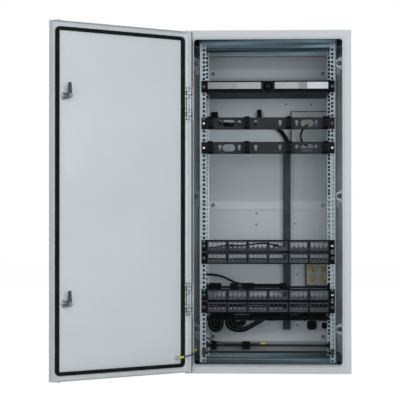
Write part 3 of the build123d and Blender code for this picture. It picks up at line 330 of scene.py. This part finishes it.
finishes = {
    "shellPaint": coatedSheet("shell_paint", shellPaint),
    "doorPaint": coatedSheet("door_paint", doorPaint),
    "platePaint": coatedSheet("plate_paint", platePaint),
    "strapPaint": coatedSheet("strap_paint", strapPaint),
    "blackPaint": coatedSheet("black_paint", blackPaint),
    "panelPaint": coatedSheet("panel_paint", panelPaint),
    "unitPaint": coatedSheet("unit_paint", unitPaint),
    "managerPaint": coatedSheet("manager_paint", managerPaint),
    "railZinc": platedSheet("rail_zinc", railZinc),
    "rearZinc": platedSheet("rear_zinc", rearZinc),
    "frameZinc": platedSheet("frame_zinc", frameZinc),
    "bracketZinc": platedSheet("bracket_zinc", bracketZinc),
    "boltZinc": platedSheet("bolt_zinc", boltZinc),
    "darkSteel": platedSheet("dark_steel", darkSteel),
    "camSteel": platedSheet("cam_steel", camSteel),
    "trimMetal": platedSheet("trim_metal", trimMetal),
    "hingeZinc": platedSheet("hinge_zinc", hingeZinc),
    "lockChrome": platedSheet("lock_chrome", lockChrome),
    "galvanised": spangledSheet("galvanised_sheet", galvanised),
    "coverSheet": spangledSheet("cover_sheet", coverSheet),
    "blackNylon": moulding("black_nylon", blackNylon),
    "ringNylon": moulding("ring_nylon", ringNylon),
    "clampNylon": moulding("clamp_nylon", clampNylon),
    "faceNylon": moulding("face_nylon", faceNylon),
    "glossBlack": moulding("gloss_black", glossBlack),
    "trunkPlastic": moulding("trunk_plastic", trunkPlastic),
    "boxPlastic": moulding("box_plastic", boxPlastic),
    "ivoryPlastic": moulding("ivory_plastic", ivoryPlastic),
    "greyPlate": moulding("grey_plate", greyPlate),
    "whitePlate": moulding("white_plate", whitePlate),
    "cableJacket": moulding("cable_jacket", cableJacket),
    "sealFoam": moulding("seal_foam", sealFoam),
    "plugRubber": moulding("plug_rubber", plugRubber),
    "bondGreen": moulding("bond_green", bondGreen),
    "sleeveYellow": moulding("sleeve_yellow", sleeveYellow),
    "earthWire": stripedJacket("earth_wire", earthWire),
    "rackScrew": rackScrew("rack_screw", screwLook),
}
print("finishes made:", len(finishes))

nodeFinishes = {
    "shellPaint": ["cabinet_body"],
    "doorPaint": ["door_panel"],
    "platePaint": ["mounting_plate"],
    "strapPaint": ["support_straps"],
    "galvanised": ["gland_plate"],
    "coverSheet": ["receptacle_box", "receptacle_cover"],
    "railZinc": ["front_left_rail", "front_right_rail"],
    "rearZinc": ["rear_left_rail", "rear_right_rail"],
    "frameZinc": ["cross_members", "depth_stays"],
    "bracketZinc": ["side_brackets"],
    "boltZinc": ["gland_screws", "cage_nuts", "lock_nuts", "wall_earth_stud", "door_earth_stud", "hinge_pins"],
    "darkSteel": ["strap_nuts", "bracket_bolts"],
    "camSteel": ["upper_lock_cam", "lower_lock_cam"],
    "rackScrew": ["rack_screws"],
    "blackPaint": ["strain_relief_bar", "rear_lacing_bars", "front_lacing_bar"],
    "unitPaint": ["power_unit_chassis"],
    "managerPaint": ["upper_cable_manager", "lower_cable_manager"],
    "panelPaint": ["patch_panel_1", "patch_panel_2", "patch_panel_3", "patch_panel_4"],
    "trimMetal": ["power_unit_trims"],
    "greyPlate": ["power_unit_grey_labels"],
    "whitePlate": ["power_unit_white_label"],
    "glossBlack": ["power_unit_dome"],
    "ringNylon": ["manager_rings"],
    "clampNylon": ["cable_clamps"],
    "faceNylon": ["patch_faceplates"],
    "trunkPlastic": ["cable_trunk"],
    "boxPlastic": ["rear_box"],
    "ivoryPlastic": ["receptacles"],
    "cableJacket": ["riser_cable", "box_lead", "bar_cable", "slack_cables"],
    "earthWire": ["earth_lead", "door_earth_lead"],
    "sealFoam": ["door_gasket"],
    "plugRubber": ["door_plugs"],
    "hingeZinc": ["upper_hinge_door_leaf", "upper_hinge_frame_leaf", "lower_hinge_door_leaf",
                  "lower_hinge_frame_leaf"],
    "lockChrome": ["lock_housings", "upper_lock_core", "lower_lock_core"],
}
for finishName, nodeNames in nodeFinishes.items():
    for nodeName in nodeNames:
        for materialSlot in nodes[nodeName].material_slots:
            materialSlot.material = finishes[finishName]
print("nodes dressed:", sum(len(names) for names in nodeFinishes.values()))


def addPiece(name, data, finishName):
    piece = bpy.data.objects.new(name, data)
    bpy.context.scene.collection.objects.link(piece)
    data.materials.append(finishes[finishName])
    return piece


sharpAngle = 35  # degrees


def meshPiece(name, shape, finishName, body):
    data = bpy.data.meshes.new(name)
    bmesh.ops.recalc_face_normals(shape, faces=shape.faces)
    for face in shape.faces:
        face.smooth = True
    shape.to_mesh(data)
    shape.free()
    data.set_sharp_from_angle(angle=math.radians(sharpAngle))
    piece = addPiece(name, data, finishName)
    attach(piece, body)
    return piece


# Cables: each route follows its solid, moved a little where the photograph shows it
cords = {
    "riser_line": {"node": "riser_cable", "diameter": mm(16), "far": "object", "stiff": "stiff", "lay": "hanging",
                   "finish": "cableJacket", "slot": "cable_jacket",
                   "route": [(-201, 212, 948), (-196, 213, 920), (-166, 212, 906), (-97.9, 212, 904),
                             (-45.1, 212, 906), (1.9, 212, 906), (30, 212, 902), (47, 212, 889),
                             (66.1, 212, 863), (76.9, 212, 838), (76.9, 212, 803)]},
    "box_lead_line": {"node": "box_lead", "diameter": mm(7), "far": "object", "stiff": "medium", "lay": "hanging",
                      "finish": "cableJacket", "slot": "cable_jacket",
                      "route": [(154, 175, 908), (154, 155, 908), (143, 137, 902), (130, 127, 886),
                                (123, 125, 866), (126, 128, 847), (137, 138, 833), (150, 155, 826),
                                (150, 175, 826)]},
    "bar_cable_line": {"node": "bar_cable", "diameter": mm(8), "far": "object", "stiff": "medium", "lay": "loose",
                       "finish": "cableJacket", "slot": "cable_jacket",
                       "route": [(-238, 163, 337.35), (-206, 162, 336.35), (-172, 163, 329.35),
                                 (-142, 162, 313.35), (-110, 163, 300.35), (-70, 163, 297.35),
                                 (-20, 162.5, 297.35), (57, 163, 297.35)]},
    "earth_lead_line": {"node": "earth_lead", "diameter": mm(5), "far": "object", "stiff": "medium",
                        "lay": "loose", "finish": "earthWire", "slot": "earth_jacket",
                        "route": [(-236, 164.5, 95), (-224, 164, 91), (-208, 163.5, 83), (-180, 164.5, 73.6),
                                  (-130, 164, 73.6), (-84, 164.5, 73.6), (-40, 164, 73.6), (-8, 164.5, 74.6)]},
    "door_lead_line": {"node": "door_earth_lead", "diameter": mm(5), "far": "object", "stiff": "limp",
                       "lay": "loose", "finish": "earthWire", "slot": "earth_jacket",
                       "route": [(-315.45, -298.65, 60), (-303.85, -292.25, 61), (-287.85, -287.25, 64.5),
                                 (-269.85, -283.75, 69.5), (-253.7, -271, 75), (-246.7, -253, 79),
                                 (-247.7, -233, 81), (-258.7, -215, 80), (-277, -215, 80)]},
}
slackBundle = {"diameter": mm(18), "level": 173.2, "depth": -19, "sag": 34, "spans": [(-214, -172), (-150, -28)],
               "shares": [(0, 0), (0, 0.4), (0.14, 0.8), (0.36, 1), (0.64, 1), (0.86, 0.8), (1, 0.4), (1, 0)],
               "slanted": [(0, 0), (0, 0.4), (0.09, 0.8), (0.25, 1), (0.45, 1), (0.62, 0.78), (0.85, 0.3),
                           (1.1, -0.23)]}
for number, (left, right) in enumerate(slackBundle["spans"], 1):
    shares = slackBundle["shares"] if number == 1 else slackBundle["slanted"]  # the wide loop rises to the right
    route = [(left + (right - left) * along, slackBundle["depth"], slackBundle["level"] - slackBundle["sag"] * down)
             for along, down in shares]
    cords[f"slack_line_{number}"] = {"node": "slack_cables", "diameter": slackBundle["diameter"], "far": "object",
                                     "stiff": "stiff", "lay": "hanging", "finish": "cableJacket",
                                     "slot": "cable_jacket", "route": route}


def newLine(name, kind, places):
    curve = bpy.data.curves.new(name, "CURVE")
    curve.dimensions = "3D"
    spline = curve.splines.new(kind)
    spline.points.add(len(places) - 1)
    for point, place in zip(spline.points, places):
        point.co = (*place, 1)
    return curve, spline


def thicken(curve, diameter):
    curve.bevel_depth = diameter / 2
    curve.bevel_resolution = 4
    curve.use_fill_caps = True


def layCord(name, cord):
    curve, spline = newLine(name, "NURBS", [mm(*place) for place in cord["route"]])
    spline.order_u = 3
    spline.use_endpoint_u = True
    spline.resolution_u = 10
    piece = addPiece(name, curve, cord["finish"])
    line = bpy.data.meshes.new_from_object(piece)
    path = [vertex.co.copy() for vertex in line.vertices]
    bpy.data.meshes.remove(line)
    thicken(curve, cord["diameter"])
    return piece, path


def addSleeve(name, path, diameter, body):  # shrunk yellow sleeve over the end of a lead
    curve, _ = newLine(name, "POLY", path)
    thicken(curve, diameter)
    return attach(addPiece(name, curve, "sleeveYellow"), body)


def cordLength(path):
    return sum((b - a).length for a, b in zip(path, path[1:]))


shortestCord = 6  # diameters; a shorter stub is no free cord
paths = {}
for name, cord in cords.items():
    piece, path = layCord(name, cord)
    paths[name] = path
    length = round(cordLength(path), 3)
    if name == "door_lead_line":  # kept as a plain mesh, attached to no body
        tubeMesh = bpy.data.meshes.new_from_object(piece)
        bpy.data.objects.remove(piece)
        piece = bpy.data.objects.new(name, tubeMesh)
        bpy.context.scene.collection.objects.link(piece)
        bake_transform(piece)
    else:
        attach(piece, "cabinet")
        length > shortestCord * cord["diameter"]
    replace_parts(piece, cord["node"])
    print("cord", name, length, "m")

addSleeve("door_lead_sleeve", paths["door_lead_line"][1:11], mm(8), "door")
addSleeve("wall_lead_sleeve", paths["door_lead_line"][-11:-1], mm(8), "cabinet")
addSleeve("earth_lead_sleeve", paths["earth_lead_line"][-5:], mm(7.5), "cabinet")
addSleeve("box_lead_sleeve", paths["box_lead_line"][2:12], mm(9), "cabinet")


# Green bonding screws in the upper holes of four ears
bondScrew = {"places": [(-earColumn, 911.7), (-earColumn, 467.2), (-earColumn, 289.4), (earColumn, 289.4)],
             "face": -131, "radius": 5.2, "rise": 3.4, "steps": 20,
             "shares": [(1, 0), (1, 0.35), (0.82, 0.78), (0.5, 0.96), (0, 1)]}  # of the radius and the rise


def turnedHeads(name, look, profile, finishName):  # one head per place, facing the door
    shape = bmesh.new()
    for x, z in look["places"]:
        place = Vector(mm(x, look["face"], z))
        rim = [shape.verts.new(place + Vector(mm(a, -b, 0))) for a, b in profile]
        edges = [shape.edges.new(pair) for pair in zip(rim, rim[1:])]
        bmesh.ops.spin(shape, geom=rim + edges, cent=place, axis=(0, 1, 0), angle=math.tau, steps=look["steps"],
                       use_merge=True)
    bmesh.ops.remove_doubles(shape, verts=shape.verts, dist=mm(0.02))
    return meshPiece(name, shape, finishName, "cabinet")


screwProfile = [(bondScrew["radius"] * wide, bondScrew["rise"] * high) for wide, high in bondScrew["shares"]]
turnedHeads("bonding_screws", bondScrew, screwProfile, "bondGreen")


def addBox(shape, size, centre):
    made = bmesh.ops.create_cube(shape, size=1.0)["verts"]
    bmesh.ops.scale(shape, vec=mm(*size), verts=made)
    bmesh.ops.translate(shape, vec=mm(*centre), verts=made)
    return made


# Cables tied along the strain relief bar and behind the ports of two panels
bundles = {
    "bundle": {"diameter": mm(7), "ends": (-214, 214), "sway": 1.3, "steps": 9,
               "rows": [(-38.6, 180.5), (-38.9, 187.8), (-34.5, 193.4), (-28.6, 191.2), (-37, 200.4)]},  # y, z
    "upper_ports": {"diameter": mm(7), "ends": (-218, 216), "sway": 0.6, "steps": 9,
                    "rows": [(-119, 403.4), (-119, 396.2)]},
    "lower_ports": {"diameter": mm(7), "ends": (-218, 216), "sway": 0.6, "steps": 9,
                    "rows": [(-119, 238.2), (-119, 231)]},
}
swayWave = {"depthShare": 0.3, "depthStep": 2.3, "heightStep": 1.7, "heightShift": 2.1}  # radians
bundleTie = {"radius": 16, "centre": (-34, 189), "width": 4, "sheet": 1.1,
             "places": [-186, -128, -66, 8, 74, 136, 192], "steps": 24}


def layBundle(name, look):
    left, right = look["ends"]
    for number, (y, z) in enumerate(look["rows"], 1):
        route = [(left + (right - left) * step / look["steps"],
                  y + look["sway"] * swayWave["depthShare"] * math.sin(swayWave["depthStep"] * step + number),
                  z + look["sway"] * math.sin(swayWave["heightStep"] * step + swayWave["heightShift"] * number))
                 for step in range(look["steps"] + 1)]
        layTied(f"{name}_line_{number}", look["diameter"], route)


def layTied(name, diameter, route):  # a cable held along its whole length
    cord = {"diameter": diameter, "finish": "cableJacket", "slot": "cable_jacket", "route": route}
    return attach(layCord(name, cord)[0], "cabinet")


def bundleTies(look):
    shape = bmesh.new()
    y, z = look["centre"]
    inner, outer, half = look["radius"], look["radius"] + look["sheet"], look["width"] / 2
    for x in look["places"]:
        corners = [(x - half, inner), (x + half, inner), (x + half, outer), (x - half, outer)]
        ring = [shape.verts.new(mm(a, y, z + b)) for a, b in corners]
        edges = [shape.edges.new(pair) for pair in zip(ring, ring[1:] + ring[:1])]
        bmesh.ops.spin(shape, geom=ring + edges, cent=mm(x, y, z), axis=(1, 0, 0), angle=math.tau,
                       steps=look["steps"], use_merge=True)
    return meshPiece("bundle_ties", shape, "ringNylon", "cabinet")


for name, look in bundles.items():
    layBundle(name, look)
bundleTies(bundleTie)

# One loose-lying cable tied behind the top ports, and smaller turns inside the slack loops
portLine = {"diameter": mm(6),
            "route": [(-220, -119, 444), (-193, -119, 445), (-160, -119, 452), (-132, -119, 454), (-103, -119, 451),
                      (-73, -119, 454.5), (-43, -119, 459), (-13, -119, 460.5), (13, -119, 457), (39, -119, 449),
                      (66, -119, 444)]}
slackTurns = [(-199, -187, 20, 12), (-136, -86, 18.5, 12), (-125, -97, 7, 11)]  # left, right, sag, diameter
riserSide = {"diameter": mm(5), "route": [(-207, 212, 946), (-204, 212, 925), (-176, 212, 917.4), (-98, 212, 916.6),
                                          (-45, 212, 918), (-30, 215, 919)]}
layTied("port_line", portLine["diameter"], portLine["route"])
layTied("riser_side_line", riserSide["diameter"], riserSide["route"])
for number, (left, right, sag, diameter) in enumerate(slackTurns, 1):
    layTied(f"slack_turn_{number}", mm(diameter),
            [(left + (right - left) * along, slackBundle["depth"], slackBundle["level"] - sag * down)
             for along, down in slackBundle["shares"]])

# Moulded blocks: the riser's entry, a tie post and two tie heads behind the top ports
mouldedBlocks = {
    "riser_entry": {"size": (24, 34, 23), "centre": (-205, 217.5, 948.5), "edge": mm(3)},
    "tie_post": {"size": (18, 18, 32), "centre": (-33, 225.8, 953), "edge": mm(3)},
    "port_tie_1": {"size": (14, 8, 10), "centre": (-131, -119, 452.4), "edge": mm(2)},
    "port_tie_2": {"size": (18, 8, 11), "centre": (27, -119, 452.6), "edge": mm(2)},
}


def mouldedBlock(name, look):
    shape = bmesh.new()
    addBox(shape, look["size"], look["centre"])
    bmesh.ops.bevel(shape, geom=shape.edges[:], offset=look["edge"], affect="EDGES", segments=3, profile=0.5,
                    material=-1)
    return meshPiece(name, shape, "ringNylon", "cabinet")


for name, look in mouldedBlocks.items():
    mouldedBlock(name, look)

# Latch sills: two steps in the foot of every port
sill = {"panels": panelLevels, "firstPlate": -184.5, "platePitch": platePitch, "plates": 6, "firstPort": -23.7,
        "portPitch": 15.8, "ports": 4, "size": (4.2, 8.4, 5), "aside": 5, "depth": -127.5, "drop": -5}


def portSills(look):
    shape = bmesh.new()
    for z in look["panels"]:
        for plate in range(look["plates"]):
            for port in range(look["ports"]):
                x = look["firstPlate"] + plate * look["platePitch"] + look["firstPort"] + port * look["portPitch"]
                for side in (-1, 1):
                    addBox(shape, look["size"], (x + side * look["aside"], look["depth"], z + look["drop"]))
    return meshPiece("port_sills", shape, "faceNylon", "cabinet")


portSills(sill)

# Dark strips behind the holes of the rails: painted shade seen through the holes
holeShadeStrips = {"sheet": 1.2, "width": 18.4, "aside": 235.3,
            "strips": [(-1, -118, 44, 1170), (1, -118, 785, 1170), (-1, 172, 1010, 1170), (1, 172, 640, 1170),
                       (1, 172, 100, 400)]}  # side, y, foot, head


def layHoleShadeStrips(look):
    shape = bmesh.new()
    for side, y, low, high in look["strips"]:
        addBox(shape, (look["width"], look["sheet"], high - low), (side * look["aside"], y, (low + high) / 2))
    return meshPiece("rail_hole_shade_strips", shape, "blackPaint", "cabinet")


layHoleShadeStrips(holeShadeStrips)

# Rounded clamp blocks in place of the plain ones
clampEdge = {"width": mm(2.4), "segments": 3, "angle": 40, "weld": mm(0.01), "flat": 1}


def roundedClamps(look):
    shape = bmesh.new()
    shape.from_mesh(nodes["cable_clamps"].data)
    bmesh.ops.transform(shape, matrix=nodes["cable_clamps"].matrix_world, verts=shape.verts)
    bmesh.ops.remove_doubles(shape, verts=shape.verts, dist=look["weld"])
    bmesh.ops.dissolve_limit(shape, angle_limit=math.radians(look["flat"]), verts=shape.verts, edges=shape.edges)
    piece = meshPiece("rounded_clamps", shape, "clampNylon", "cabinet")
    bevel = piece.modifiers.new("bevel", "BEVEL")
    bevel.width = look["width"]
    bevel.segments = look["segments"]
    bevel.limit_method = "ANGLE"
    bevel.angle_limit = math.radians(look["angle"])
    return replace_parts(piece, "cable_clamps")


roundedClamps(clampEdge)

# Slots in the four receptacle faces
outlet = {"centre": (192, 183.2, 340), "pitch": (46, 38.9), "slot": (2.4, 0.6, 9), "apart": 12.6, "slotRise": 2.5,
          "earth": (5.4, 0.6, 5.4), "earthDrop": 8}


def receptacleSlots(look):
    shape = bmesh.new()
    x0, y, z0 = look["centre"]
    for acrossSide in (-1, 1):
        for upSide in (-1, 1):
            x = x0 + acrossSide * look["pitch"][0] / 2
            z = z0 + upSide * look["pitch"][1] / 2
            for side in (-1, 1):
                addBox(shape, look["slot"], (x + side * look["apart"] / 2, y, z + look["slotRise"]))
            addBox(shape, look["earth"], (x, y, z - look["earthDrop"]))
    return meshPiece("receptacle_slots", shape, "blackNylon", "cabinet")


receptacleSlots(outlet)

# A black band round the lid of the rear box: a painted shadow gap between lid and box
boxLidShadowGap = {"centre": (159.5, 178.4, 887.5), "width": 145, "band": 4.4, "thickness": mm(1.2)}


def layBoxLidShadowBand(look):
    shape = bmesh.new()
    x, y, z = look["centre"]
    bmesh.ops.create_grid(shape, x_segments=1, y_segments=1, size=mm(look["width"] / 2),
                          matrix=Matrix.Translation(mm(x, y, z)) @ Matrix.Rotation(math.pi / 2, 4, "X"))
    middle = shape.faces[:]
    bmesh.ops.inset_region(shape, faces=middle, thickness=mm(look["band"]), use_boundary=True)
    bmesh.ops.delete(shape, geom=middle, context="FACES")
    bmesh.ops.solidify(shape, geom=shape.faces[:], thickness=look["thickness"])
    return meshPiece("box_lid_shadow_band", shape, "blackNylon", "cabinet")


layBoxLidShadowBand(boxLidShadowGap)

# Threaded inserts on the mounting plate
insert = {"places": [(69.5, 990), (166, 989.6), (-44.8, 569.2), (-44.8, 526.3), (101.9, 530.2), (112.7, 334.1),
                     (112, 138.8)],
          "face": 235, "outer": 3.4, "inner": 1.9, "rise": 1.2, "floor": 0.4, "rim": 2.89, "edge": 0.48, "steps": 20}
insertProfile = [(0, insert["floor"]), (insert["inner"], insert["floor"]), (insert["inner"], insert["rise"]),
                 (insert["rim"], insert["rise"]), (insert["outer"], insert["edge"]), (insert["outer"], 0)]
turnedHeads("plate_inserts", insert, insertProfile, "darkSteel")
print("small pieces made")

# Camera as the photograph was taken, and the stage
shot = {"lens": 141.86, "sensor": 36, "reach": 100, "place": (0, -5.85, 0.5596), "pitchUp": 0.5816, "turnLeft": 2.47}
camera = bpy.data.objects.new("camera", bpy.data.cameras.new("camera"))
camera.data.lens = shot["lens"]
camera.data.sensor_width = shot["sensor"]
camera.data.clip_end = shot["reach"]
camera.location = shot["place"]
camera.rotation_euler = (math.radians(90 + shot["pitchUp"]), 0, math.radians(shot["turnLeft"]))
bpy.context.scene.collection.objects.link(camera)
bpy.context.scene.camera = camera

lamps = {
    "key": {"place": (1.3, -5.4, 1.6), "aim": (-0.1, 0, 0.6), "size": 2.6, "power": 130},
    "fill": {"place": (-0.9, -5.6, 0.4), "aim": (0, 0, 0.7), "size": 2.4, "power": 80},
    "rear": {"place": (0.6, 5.6, 2.4), "aim": (-0.1, 0, 0.6), "size": 3.0, "power": 110},
}
for name, lamp in lamps.items():
    light = bpy.data.lights.new(name, "AREA")
    light.energy = lamp["power"]
    light.size = lamp["size"]
    holder = bpy.data.objects.new(name, light)
    aim = Vector(lamp["aim"]) - Vector(lamp["place"])
    holder.matrix_world = Matrix.Translation(lamp["place"]) @ aim.to_track_quat("-Z", "Y").to_matrix().to_4x4()
    bpy.context.scene.collection.objects.link(holder)

# Even sky for the light, plain white for what the camera and the shine see
skyLook = {"colour": (0.97, 0.985, 1.0, 1.0), "level": 0.28, "seen": (1, 1, 1, 1)}
world = bpy.data.worlds.new("studio")
bpy.context.scene.world = world
world.use_nodes = True
skyTree = world.node_tree
rays = skyTree.nodes.new("ShaderNodeLightPath")
sky = skyTree.nodes["Background"]
white = skyTree.nodes.new("ShaderNodeBackground")
choice = skyTree.nodes.new("ShaderNodeMixShader")
seen = skyTree.nodes.new("ShaderNodeMath")
seen.operation = "MAXIMUM"
through = skyTree.nodes.new("ShaderNodeMath")
through.operation = "MAXIMUM"
sky.inputs["Color"].default_value = skyLook["colour"]
sky.inputs["Strength"].default_value = skyLook["level"]
white.inputs["Color"].default_value = skyLook["seen"]
skyLinks = [(rays, "Is Camera Ray", seen, 0), (rays, "Is Glossy Ray", seen, 1), (seen, 0, through, 0),
            (rays, "Is Transmission Ray", through, 1), (through, 0, choice, 0), (sky, 0, choice, 1),
            (white, 0, choice, 2), (choice, 0, skyTree.nodes["World Output"], "Surface")]
for source, output, target, entry in skyLinks:
    skyTree.links.new(source.outputs[output], target.inputs[entry])

paper = {"half": 14, "drop": 0.0005, "colour": paint(236, 238, 240), "rough": 0.9, "glow": 1.22, "glowShare": 0.75}
floorShape = bmesh.new()
bmesh.ops.create_grid(floorShape, x_segments=1, y_segments=1, size=paper["half"])
floorMesh = bpy.data.meshes.new("floor")
floorShape.to_mesh(floorMesh)
floorShape.free()
floor = bpy.data.objects.new("floor", floorMesh)
floor.location.z = -paper["drop"]
bpy.context.scene.collection.objects.link(floor)
floorFinish = Finish("floor_paper")
floorFinish.surface({"Base Color": paper["colour"], "Roughness": paper["rough"]})
seenRay = floorFinish.node("LightPath", output="Is Camera Ray")
matt = Wire(floorFinish, floorFinish.shader.outputs[0])
glow = floorFinish.node("Emission", {}, {"Color": (1, 1, 1, 1), "Strength": paper["glow"]})
mix = floorFinish.node("MixShader", {}, {0: seenRay * paper["glowShare"], 1: matt, 2: glow})
floorFinish.feed(floorFinish.tree.nodes["Material Output"].inputs["Surface"], mix)
floorMesh.materials.append(floorFinish.material)
bpy.context.scene.view_settings.view_transform = "Standard"
print("stage set")
